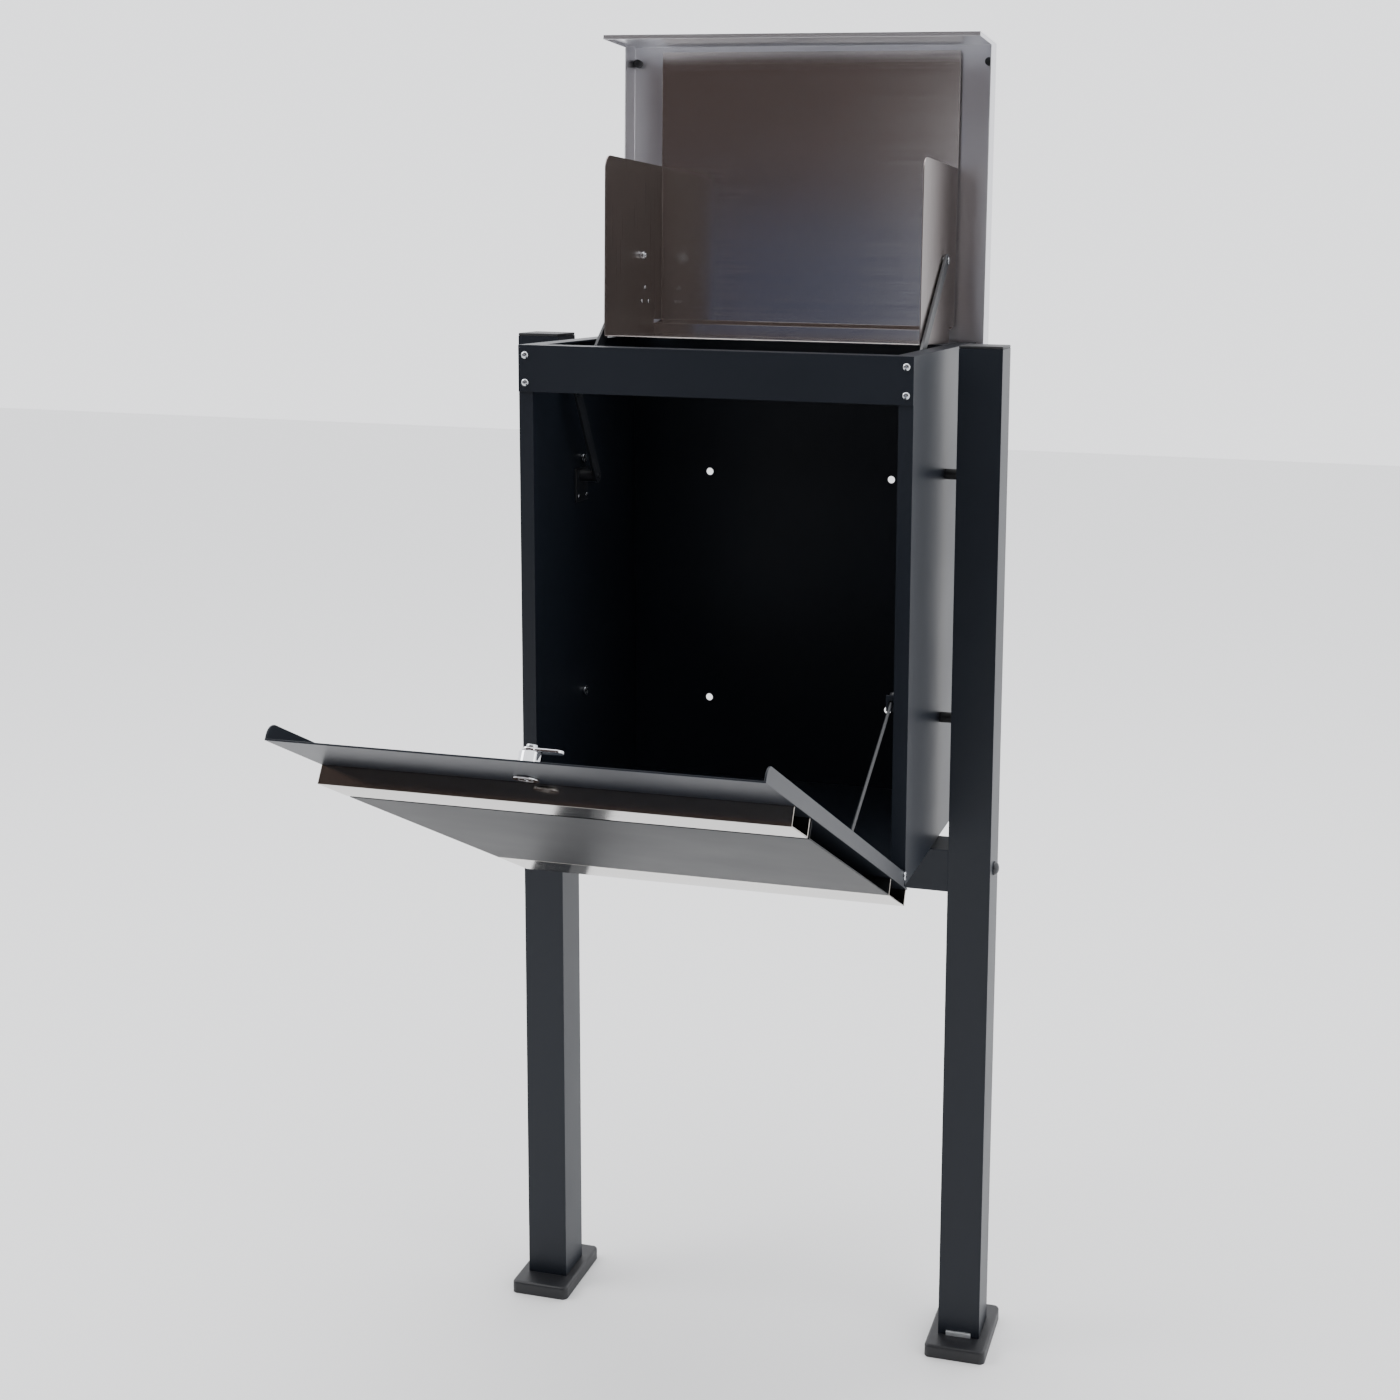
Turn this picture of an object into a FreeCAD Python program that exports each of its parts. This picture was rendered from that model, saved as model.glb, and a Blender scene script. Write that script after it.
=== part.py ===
import FreeCAD, Part
import math
import os

# Parcel letterbox on two posts: an open-topped steel box with a lift-up lid that carries an inner
# bucket, and a bottom-hinged removal door with trim strips and a cam lock.
# X runs left to right, -Y is the front, Z is up. The origin is on the ground, midway between the posts.
# The lid and the door are built closed, then turned open about their hinges to the rest pose.

DIMENSIONS = {
    # box
    "box_width": 400, "box_depth": 305, "box_tall": 514.5, "box_base": 561.5, "sheet": 1.5,
    "top_rim": 20, "front_rim": 14.5, "rim_return": 8, "rear_drop": 4,
    "rail_tall": 46, "rail_flange": 19.5, "rail_lip": 3, "corner_gap": 0.5,
    "wall_hole_x": 214, "wall_hole_z": 265, "wall_hole_low": 93.5, "wall_hole_r": 4,
    "drain_r": 3, "drain_x": 185, "drain_y": 138,
    # stand
    "post_side": 45, "post_wall": 2, "post_gap": 16, "post_top": 1078, "cap_thick": 3,
    "plate_x": 60, "plate_y": 88, "plate_thick": 6, "anchor_y": 66, "anchor_r": 4.5,
    "cover_x": 66, "cover_y": 94, "cover_tall": 14, "cover_round": 6, "cover_edge": 3, "cover_skin": 2.4,
    "shim_wide": 27, "shim_thick": 2.5, "shim_tall": 5,
    "beam_base": 511, "beam_bolt_z": 533.5, "beam_bolt_r": 4,
    "sleeve_r": 5.5, "sleeve_low": 692, "sleeve_high": 948, "fixing_r": 3, "fixing_head_r": 5,
    # lid, measured closed
    "lid_hinge_y": 156, "lid_hinge_z": 1068, "lid_sheet": 1.2, "lid_rise": 17, "lid_half": 209.5,
    "lid_front": 176, "lid_rear": 160, "lid_lip": 93, "lip_return": 5, "lid_flange": 28,
    "hinge_pin_r": 1.6, "hinge_knuckle_r": 3.2, "hinge_x": 150, "leaf_wide": 12, "lug_thick": 3,
    "bumper_r": 4.5, "bumper_x": 203, "bumper_y": 156, "bumper_long": 8.6,
    # bucket inside the lid, measured closed
    "bucket_half": 172, "bucket_top": 1077, "bucket_front": 168, "bucket_back": 149.4,
    "bucket_deep": 908.6, "bucket_band_z": 1051, "bucket_band": 13.4, "plate_front": 41,
    # lid stays
    "stud_y": 101, "stud_z": 1163, "stud_r": 2.5, "stay_wide": 14, "stay_thick": 3,
    "anchor_pin_y": -8, "anchor_pin_z": 930, "upper_stay_x": 173.5, "lower_stay_x": 177,
    # door, measured closed
    "door_hinge_y": -158.1, "door_hinge_z": 573, "door_half": 200.3, "door_front": 168.6,
    "door_rear": 154.6, "door_low": 550.5, "door_top": 1075.5, "flange_round": 9,
    "ear_r": 4.6, "door_pin_r": 2.5,
    "trim_deep": 16, "trim_half": 199, "trim_sheet": 1.2, "upper_trim_low": 938,
    "upper_trim_top": 988, "panel_low": 625, "panel_top": 933, "lower_trim_top": 624,
    # lock
    "lock_x": -12, "lock_z": 1009, "lock_barrel_r": 9, "lock_face_r": 10.5, "lock_face": 1.8,
    "lock_rear": 148.6, "plug_r": 6.5, "cam_thick": 2.5, "cam_wide": 11, "cam_long": 27,
    # door stay
    "rod_x": 182, "rod_r": 1.5, "rod_pin_r": 2, "rod_swing": 168, "rod_eye_r": 4, "rod_long": 196,
    "eyelet_y": 148, "eyelet_r": 2.8,
    # shared
    "running": 0.05,
}

LID_OPEN = 91.5     # degrees between the closed and the open lid
DOOR_OPEN = 62.6    # degrees between the closed and the open door
SIDES = (("left", -1), ("right", 1))

doc = FreeCAD.newDocument("parcel_letterbox")
sheet = doc.addObject("Spreadsheet::Sheet", "Sizes")
for row, (alias, number) in enumerate(DIMENSIONS.items(), start=1):
    sheet.set(f"A{row}", alias)
    sheet.set(f"B{row}", str(number))
    sheet.setAlias(f"B{row}", alias)
doc.recompute()

nodes = {}


def bind(obj, values):
    """Binds properties of an object to expressions whose words are the sheet's aliases."""
    for prop, expression in values.items():
        words = sorted(DIMENSIONS, key=len, reverse=True)
        text = " ".join(
            "Sizes." + word if word in words else word
            for word in expression.replace("(", " ( ").replace(")", " ) ").split()
        )
        obj.setExpression(prop, text)


def block(name, low, size):
    """Makes a box from its lowest corner and its size, each three expressions."""
    obj = doc.addObject("Part::Box", name)
    bind(obj, dict(zip(("Placement.Base.x", "Placement.Base.y", "Placement.Base.z"), low)))
    bind(obj, dict(zip(("Length", "Width", "Height"), size)))
    return obj


def mirrored(side, inner, thick):
    """Gives the low X of a piece that spans |X| from inner to inner + thick on one side."""
    if side > 0:
        return inner
    return f"0 - ( {inner} ) - ( {thick} )"


def disc(name, axis, start, radius, length):
    """Makes a cylinder along X or Y or Z that starts at a point and runs in the positive direction."""
    obj = doc.addObject("Part::Cylinder", name)
    turn = {
        "X": FreeCAD.Rotation(FreeCAD.Vector(0, 1, 0), 90),
        "Y": FreeCAD.Rotation(FreeCAD.Vector(1, 0, 0), -90),
        "Z": FreeCAD.Rotation(),
    }[axis]
    obj.Placement = FreeCAD.Placement(FreeCAD.Vector(), turn)
    bind(obj, dict(zip(("Placement.Base.x", "Placement.Base.y", "Placement.Base.z"), start)))
    bind(obj, {"Radius": radius, "Height": length})
    return obj


def side_disc(name, side, inner, start_y, start_z, radius, length):
    """Makes a cylinder along X that spans |X| from inner to inner + length on one side."""
    return disc(name, "X", (mirrored(side, inner, length), start_y, start_z), radius, length)


def fuse(name, pieces):
    """Joins pieces into one shape."""
    obj = doc.addObject("Part::MultiFuse", name)
    obj.Shapes = pieces
    obj.Refine = True
    return obj


def cut(name, base, tools):
    """Takes one or more tools away from a base."""
    obj = doc.addObject("Part::Cut", name)
    obj.Base = base
    obj.Tool = tools[0] if len(tools) == 1 else fuse(name + "_tools", tools)
    obj.Refine = True
    return obj


def is_upright(edge):
    """Tells whether an edge runs along Z."""
    ends = edge.Vertexes
    return len(ends) == 2 and abs(ends[0].X - ends[1].X) < 1e-6 and abs(ends[0].Y - ends[1].Y) < 1e-6


def is_top_edge(edge):
    """Tells whether an edge lies on the top face of a foot cover."""
    return all(abs(vertex.Z - sheet.cover_tall) < 1e-6 for vertex in edge.Vertexes)


def rounded(name, base, radius, wanted):
    """Rounds the edges of a base that a test picks out."""
    doc.recompute()
    obj = doc.addObject("Part::Fillet", name)
    obj.Base = base
    picked = [index for index, edge in enumerate(base.Shape.Edges, start=1) if wanted(edge)]
    obj.Edges = [(index, radius, radius) for index in picked]
    return obj


def group(name, pieces):
    """Keeps separate identical solids together as one node."""
    obj = doc.addObject("Part::Compound", name)
    obj.Links = pieces
    return obj


def node(label, obj, carrier="root"):
    """Names a finished piece and turns it open with the lid or the door when one carries it."""
    obj.Label = label
    nodes[label] = obj
    hinge = {
        "lid": (sheet.lid_hinge_y, sheet.lid_hinge_z, -LID_OPEN),
        "door": (sheet.door_hinge_y, sheet.door_hinge_z, DOOR_OPEN),
    }.get(carrier)
    if hinge:
        centre = FreeCAD.Vector(0, hinge[0], hinge[1])
        turn = FreeCAD.Rotation(FreeCAD.Vector(1, 0, 0), hinge[2])
        obj.Placement = FreeCAD.Placement(FreeCAD.Vector(), turn, centre)
    return obj


def bar_between(name, side, inner, thick, wide, start, end):
    """Makes a flat bar with round ends in the YZ plane between two points given as numbers."""
    length = math.hypot(end[0] - start[0], end[1] - start[1])
    angle = math.degrees(math.atan2(end[1] - start[1], end[0] - start[0]))
    x_low = inner if side > 0 else -inner - thick
    body = Part.makeBox(thick, length, wide, FreeCAD.Vector(x_low, 0, -wide / 2))
    for along in (0, length):
        body = body.fuse(Part.makeCylinder(
            wide / 2, thick, FreeCAD.Vector(x_low, along, 0), FreeCAD.Vector(1, 0, 0)))
    body = body.removeSplitter()
    body.rotate(FreeCAD.Vector(), FreeCAD.Vector(1, 0, 0), angle)
    body.translate(FreeCAD.Vector(0, start[0], start[1]))
    obj = doc.addObject("Part::Feature", name)
    obj.Shape = body
    return obj


# ---------------------------------------------------------------- stand
def build_stand():
    """Builds posts, caps, feet, the cross beam and the fixings between stand and box."""
    inner = "( box_width / 2 + post_gap )"
    centre = "( box_width / 2 + post_gap + post_side / 2 )"
    caps = []
    plates = []
    bolts = []
    for word, side in SIDES:
        outside = block(
            word + "_tube", (mirrored(side, inner, "post_side"), "0 - post_side / 2", "plate_thick"),
            ("post_side", "post_side", "post_top - plate_thick"))
        hollow = block(
            word + "_hollow",
            (mirrored(side, inner + " + post_wall", "post_side - 2 * post_wall"),
             "post_wall - post_side / 2", "plate_thick"),
            ("post_side - 2 * post_wall", "post_side - 2 * post_wall", "post_top - plate_thick"))
        holes = [side_disc(f"{word}_fixing_hole_{level}", side, inner, "0", level,
                           "fixing_r + running", "post_wall") for level in ("sleeve_low", "sleeve_high")]
        holes.append(side_disc(word + "_beam_hole", side, inner, "0", "beam_bolt_z",
                               "beam_bolt_r + running", "post_side"))
        node(word + "_post", cut(word + "_post", outside, [hollow] + holes))
        caps.append(block(
            word + "_cap_plate", (mirrored(side, inner, "post_side"), "0 - post_side / 2", "post_top"),
            ("post_side", "post_side", "cap_thick")))

        plate = block(
            word + "_plate", (mirrored(side, centre + " - plate_x / 2", "plate_x"), "0 - plate_y / 2", "0"),
            ("plate_x", "plate_y", "plate_thick"))
        anchors = [disc(f"{word}_anchor_{sign}", "Z",
                        (mirrored(side, centre, "0"), f"{sign} * anchor_y / 2", "0"),
                        "anchor_r", "plate_thick") for sign in ("-1", "1")]
        plates.append(cut(word + "_foot_plate", plate, anchors))

        base = block(
            word + "_cover_block", (mirrored(side, centre + " - cover_x / 2", "cover_x"),
                                    "0 - cover_y / 2", "0"),
            ("cover_x", "cover_y", "cover_tall"))
        corners = rounded(word + "_cover_corners", base, sheet.cover_round, is_upright)
        shell = rounded(word + "_cover_outside", corners, sheet.cover_edge, is_top_edge)
        room = block(
            word + "_cover_room",
            (mirrored(side, centre + " - cover_x / 2 + cover_skin", "cover_x - 2 * cover_skin"),
             "cover_skin - cover_y / 2", "0"),
            ("cover_x - 2 * cover_skin", "cover_y - 2 * cover_skin", "cover_tall - cover_edge"))
        sleeve = block(
            word + "_cover_window", (mirrored(side, inner, "post_side"), "0 - post_side / 2", "0"),
            ("post_side", "post_side", "cover_tall"))
        node(word + "_foot_cover", cut(word + "_foot_cover", shell, [room, sleeve]))

        shank = side_disc(word + "_beam_shank", side, inner + " - 12", "0", "beam_bolt_z",
                          "beam_bolt_r", "post_side + 12")
        head = side_disc(word + "_beam_head", side, inner + " + post_side", "0", "beam_bolt_z", "7.5", "3")
        dome = side_disc(word + "_beam_dome", side, inner + " + post_side + 3", "0", "beam_bolt_z",
                         "5.5", "2.5")
        bolts.append(fuse(word + "_beam_bolt", [shank, head, dome]))
    shim = block("shim_bar",
                 (centre + " - shim_wide / 2", "0 - post_side / 2 - shim_thick", "cover_tall"),
                 ("shim_wide", "shim_thick", "shim_tall"))
    node("levelling_shim", group("levelling_shim", [shim]))
    node("post_caps", group("post_caps", caps))
    node("foot_plates", group("foot_plates", plates))
    node("beam_bolts", group("beam_bolts", bolts))

    span = "( box_width + 2 * post_gap )"
    beam = block("beam_bar", (f"0 - {span} / 2", "0 - post_side / 2", "beam_base"),
                 (span, "post_side", "post_side"))
    bores = [side_disc(word + "_beam_bore", side, inner + " - 12", "0", "beam_bolt_z",
                       "beam_bolt_r + running", "12") for word, side in SIDES]
    node("cross_beam", cut("cross_beam", beam, bores))

    sleeves = []
    fixings = []
    for word, side in SIDES:
        for level in ("sleeve_low", "sleeve_high"):
            tube = side_disc(f"{word}_sleeve_{level}", side, "box_width / 2", "0", level,
                             "sleeve_r", "post_gap")
            bore = side_disc(f"{word}_sleeve_bore_{level}", side, "box_width / 2", "0", level,
                             "fixing_r + running", "post_gap")
            sleeves.append(cut(f"{word}_standoff_{level}", tube, [bore]))
            shank = side_disc(f"{word}_fixing_{level}", side, "box_width / 2 - sheet", "0", level,
                              "fixing_r", "sheet + post_gap + 6")
            head = side_disc(f"{word}_fixing_head_{level}", side, "box_width / 2 - sheet - 3", "0", level,
                             "fixing_head_r", "3")
            fixings.append(fuse(f"{word}_fixing_bolt_{level}", [shank, head]))
    node("standoff_sleeves", group("standoff_sleeves", sleeves))
    node("standoff_bolts", group("standoff_bolts", fixings))


# ---------------------------------------------------------------- box
def build_box():
    """Builds the fixed sheet-metal box with its front rail and screws."""
    front = "0 - box_depth / 2"
    top = "( box_base + box_tall )"
    levels = ("box_base + box_tall - 10", "box_base + box_tall - 37")
    for word, side in SIDES:
        wall = block(word + "_skin", (mirrored(side, "box_width / 2 - sheet", "sheet"), front, "box_base"),
                     ("sheet", "box_depth", "box_tall"))
        rim = block(word + "_front_rim",
                    (mirrored(side, "box_width / 2 - front_rim", "front_rim"), front, "box_base"),
                    ("front_rim", "sheet", "box_tall"))
        lip = block(word + "_rim_return",
                    (mirrored(side, "box_width / 2 - front_rim", "sheet"), front, "box_base + sheet"),
                    ("sheet", "rim_return", "box_tall - 2 * sheet"))
        shelf = block(word + "_top_rim",
                      (mirrored(side, "box_width / 2 - top_rim", "top_rim"), front + " + sheet",
                       top + " - sheet"), ("top_rim", "box_depth - 2 * sheet", "sheet"))
        holes = [side_disc(f"{word}_wall_hole_{level}", side, "box_width / 2 - sheet", "0", level,
                           "fixing_r + running", "sheet") for level in ("sleeve_low", "sleeve_high")]
        holes += [disc(f"{word}_rim_hole_{index}", "Y",
                       (mirrored(side, "box_width / 2 - 7", "0"), front, level), "2 + running", "sheet")
                  for index, level in enumerate(levels)]
        folded = fuse(word + "_wall_sheet", [wall, rim, lip, shelf])
        node(word + "_side_wall", cut(word + "_side_wall", folded, holes))

    inner_half = "( box_width / 2 - sheet )"
    rear = block("rear_sheet", (f"0 - {inner_half}", "box_depth / 2 - sheet", "box_base"),
                 ("box_width - 2 * sheet", "sheet", "box_tall - rear_drop"))
    holes = []
    for column in ("-1", "1"):
        for index, level in enumerate(("box_base + wall_hole_low",
                                       "box_base + wall_hole_low + wall_hole_z")):
            holes.append(disc(f"wall_hole_{column}_{index}".replace("-", "m"), "Y",
                              (f"{column} * wall_hole_x / 2", "box_depth / 2 - sheet", level),
                              "wall_hole_r", "sheet"))
    node("rear_wall", cut("rear_wall", rear, holes))

    base = block("floor_sheet", (f"0 - {inner_half}", "sheet - box_depth / 2", "box_base"),
                 ("box_width - 2 * sheet", "box_depth - 2 * sheet", "sheet"))
    sill = block("floor_sill", ("front_rim - box_width / 2", front, "box_base"),
                 ("box_width - 2 * front_rim", "sheet", "12"))
    drains = [disc(f"drain_{index}", "Z", (f"{sx} * drain_x", f"{sy} * drain_y", "box_base"),
                   "drain_r", "sheet")
              for index, (sx, sy) in enumerate((("-1", "-1"), ("-1", "1"), ("1", "-1"), ("1", "1")))]
    slots = [block(f"drain_slot_{index}", (f"{sx} * drain_x - 5", "drain_y - 22", "box_base"),
                   ("10", "2.5", "sheet"))
             for index, sx in enumerate(("-1", "1"))]
    node("floor_pan", cut("floor_pan", fuse("floor_sheet_sill", [base, sill]), drains + slots))

    face = block("rail_face", ("0 - box_width / 2", front + " - sheet", f"{top} - rail_tall"),
                 ("box_width", "sheet", "rail_tall"))
    ledge_half = "( box_width / 2 - top_rim - corner_gap )"
    ledge = block("rail_ledge", (f"0 - {ledge_half}", front, f"{top} - sheet"),
                  (f"2 * {ledge_half}", "rail_flange", "sheet"))
    hem_half = "( box_width / 2 - front_rim - corner_gap )"
    hem = block("rail_hem", (f"0 - {hem_half}", front, f"{top} - rail_tall"),
                (f"2 * {hem_half}", "rail_lip", "sheet"))
    rail_holes = []
    screws = []
    for word, side in SIDES:
        for index, level in enumerate(levels):
            place = mirrored(side, "box_width / 2 - 7", "0")
            rail_holes.append(disc(f"{word}_rail_hole_{index}", "Y", (place, front + " - sheet", level),
                                   "2 + running", "sheet"))
            shank = disc(f"{word}_rail_shank_{index}", "Y", (place, front + " - sheet", level), "2", "7")
            head = disc(f"{word}_rail_head_{index}", "Y", (place, front + " - sheet - 2", level), "3.8",
                        "2")
            socket = disc(f"{word}_rail_socket_{index}", "Y", (place, front + " - sheet - 2", level),
                          "1.3", "1.2")
            blank = fuse(f"{word}_rail_blank_{index}", [shank, head])
            screws.append(cut(f"{word}_rail_screw_{index}", blank, [socket]))
    node("front_top_rail", cut("front_top_rail", fuse("rail_sheet", [face, ledge, hem]), rail_holes))
    node("rail_screws", group("rail_screws", screws))


# ---------------------------------------------------------------- lid
def build_lid():
    """Builds the lid, its hinges and its bumpers, measured closed."""
    under = "( lid_hinge_z + lid_rise )"
    top = block("lid_top", ("0 - lid_half", "0 - lid_front", under),
                ("2 * lid_half", "lid_front + lid_rear", "lid_sheet"))
    lip_low = f"( {under} + lid_sheet - lid_lip )"
    lip = block("lid_lip_face", ("0 - lid_half", "0 - lid_front", lip_low),
                ("2 * lid_half", "lid_sheet", "lid_lip"))
    fold = block("lid_lip_return", ("0 - lid_half", "0 - lid_front", lip_low),
                 ("2 * lid_half", "lip_return", "lid_sheet"))
    pieces = [top, lip, fold]
    for word, side in SIDES:
        pieces.append(block(word + "_lid_flange",
                            (mirrored(side, "lid_half - lid_sheet", "lid_sheet"), "0 - lid_front",
                             f"{under} - lid_flange"),
                            ("lid_sheet", "lid_front + lid_rear - 8", "lid_flange")))
        pieces.append(block(word + "_lip_end",
                            (mirrored(side, "lid_half - lid_sheet", "lid_sheet"), "0 - lid_front", lip_low),
                            ("lid_sheet", "lip_return", "lid_lip - lid_flange")))
    node("lid_panel", fuse("lid_panel", pieces), "lid")

    leaves = []
    lugs = []
    pins = []
    for word, side in SIDES:
        web = block(word + "_leaf_web",
                    (mirrored(side, "hinge_x - leaf_wide / 2", "leaf_wide"),
                     "lid_hinge_y - hinge_knuckle_r", "lid_hinge_z"),
                    ("leaf_wide", "2 * hinge_knuckle_r", "lid_rise"))
        eye = side_disc(word + "_leaf_eye", side, "hinge_x - leaf_wide / 2", "lid_hinge_y", "lid_hinge_z",
                        "hinge_knuckle_r", "leaf_wide")
        bore = side_disc(word + "_leaf_bore", side, "hinge_x - leaf_wide / 2", "lid_hinge_y", "lid_hinge_z",
                         "hinge_pin_r + running", "leaf_wide")
        leaves.append(cut(word + "_hinge_leaf", fuse(word + "_leaf_blank", [web, eye]), [bore]))
        span = "( leaf_wide + 2 * corner_gap + 2 * lug_thick )"
        pins.append(side_disc(word + "_hinge_pin", side, f"hinge_x - {span} / 2", "lid_hinge_y",
                              "lid_hinge_z",
                              "hinge_pin_r", span))
        for place, inner in (("near", f"hinge_x - {span} / 2"),
                             ("far", f"hinge_x + {span} / 2 - lug_thick")):
            plate = block(f"{word}_{place}_lug_plate",
                          (mirrored(side, inner, "lug_thick"), "box_depth / 2", "lid_hinge_z - 26"),
                          ("lug_thick", "lid_hinge_y - box_depth / 2", "26 + hinge_knuckle_r"))
            round_end = side_disc(f"{word}_{place}_lug_round", side, inner, "lid_hinge_y", "lid_hinge_z",
                                  "hinge_knuckle_r", "lug_thick")
            hole = side_disc(f"{word}_{place}_lug_hole", side, inner, "lid_hinge_y", "lid_hinge_z",
                             "hinge_pin_r", "lug_thick")
            lugs.append(cut(f"{word}_{place}_hinge_lug",
                            fuse(f"{word}_{place}_lug_blank", [plate, round_end]), [hole]))
    node("lid_hinge_leaves", group("lid_hinge_leaves", leaves), "lid")
    node("lid_hinge_lugs", group("lid_hinge_lugs", lugs))
    node("lid_hinge_pins", group("lid_hinge_pins", pins))

    bumpers = [disc(word + "_bumper", "Z", (mirrored(side, "bumper_x", "0"), "0 - bumper_y",
                                            f"{under} - bumper_long"),
                    "bumper_r", "bumper_long") for word, side in SIDES]
    node("lid_bumpers", group("lid_bumpers", bumpers), "lid")


# ---------------------------------------------------------------- bucket
def build_bucket():
    """Builds the stainless bucket that the lid carries, measured closed."""
    step_y = "( bucket_back - bucket_band )"
    skin = "lid_sheet"
    back = block("bucket_sheet", ("0 - bucket_half", "0 - bucket_front", "bucket_top"),
                 ("2 * bucket_half", f"bucket_front + {step_y} - 4", skin))
    inner = f"( bucket_half - {skin} )"
    band = block("bucket_band_sheet", (f"0 - {inner}", step_y, "bucket_band_z"),
                 (f"2 * {inner}", f"bucket_band - {skin}", skin))
    rise = sheet.bucket_top - sheet.bucket_band_z
    slope = math.degrees(math.atan2(4.0, rise))
    ledge = block("bucket_ledge", (f"0 - {inner}", step_y, "bucket_band_z"),
                  (f"2 * {inner}", skin, "bucket_top - bucket_band_z + 0.6"))
    ledge.Placement = FreeCAD.Placement(ledge.Placement.Base,
                                        FreeCAD.Rotation(FreeCAD.Vector(1, 0, 0), slope))
    node("bucket_back", fuse("bucket_back", [back, band, ledge]), "lid")

    floor = block("bucket_floor_sheet", (f"0 - {inner}", f"bucket_back - {skin}", "bucket_deep"),
                  (f"2 * {inner}", skin, "bucket_band_z - bucket_deep + lid_sheet"))
    node("bucket_floor", group("bucket_floor", [floor]), "lid")

    studs = []
    rivets = []
    stud_y = "( lid_hinge_y - stud_z + lid_hinge_z )"
    stud_z = "( lid_hinge_z + stud_y - lid_hinge_y )"
    for word, side in SIDES:
        cheek = block(word + "_cheek", (mirrored(side, inner, skin), "0 - plate_front", "bucket_deep"),
                      (skin, f"plate_front + {step_y} - 4", "bucket_top - bucket_deep"))
        rim = block(word + "_cheek_band", (mirrored(side, inner, skin), f"{step_y} - 4", "bucket_deep"),
                    (skin, "bucket_band + 4", "bucket_band_z - bucket_deep + lid_sheet"))
        corner = block(word + "_cheek_corner", (mirrored(side, inner, skin), "0 - plate_front",
                                                "bucket_deep"),
                       (skin, "14", "14"))
        round_end = side_disc(word + "_cheek_round", side, inner, "14 - plate_front", "bucket_deep + 14",
                              "14", skin)
        notch = cut(word + "_cheek_notch", corner, [round_end])
        hole = side_disc(word + "_cheek_hole", side, inner, stud_y, stud_z, "stud_r", skin)
        node(f"bucket_{word}_side", cut(word + "_cheek_sheet", fuse(word + "_cheek_blank", [cheek, rim]),
                                        [notch, hole]), "lid")
        shaft = side_disc(word + "_stud_shaft", side, "bucket_half - 7", stud_y, stud_z, "stud_r", "12")
        nut = side_disc(word + "_stud_nut", side, f"{inner} - 4", stud_y, stud_z, "4.6", "4")
        head = side_disc(word + "_stud_head", side, "upper_stay_x + stay_thick + 0.4", stud_y, stud_z, "4",
                         "1.1")
        collar = side_disc(word + "_stud_collar", side, "bucket_half", stud_y, stud_z, "4", "1.2")
        studs.append(fuse(word + "_stud", [shaft, nut, head, collar]))
        for index, (down, back_by) in enumerate((("35.5", "10"), ("50.5", "1"), ("50.5", "21"))):
            rivets.append(side_disc(f"{word}_cheek_rivet_{index}", side, f"{inner} - 1.2",
                                    f"{stud_y} + {down}", f"{stud_z} + {back_by}", "2.2", "1.2"))
    node("stay_studs", group("stay_studs", studs), "lid")
    node("bucket_rivets", group("bucket_rivets", rivets), "lid")

    spacers = [disc(f"spacer_{word}_{index}", "Z",
                    (mirrored(side, "140", "0"), place, f"bucket_top + {skin}"), "6",
                    f"lid_hinge_z + lid_rise - bucket_top - {skin}")
               for word, side in SIDES for index, place in enumerate(("-130", "90"))]
    node("bucket_spacers", group("bucket_spacers", spacers), "lid")


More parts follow.
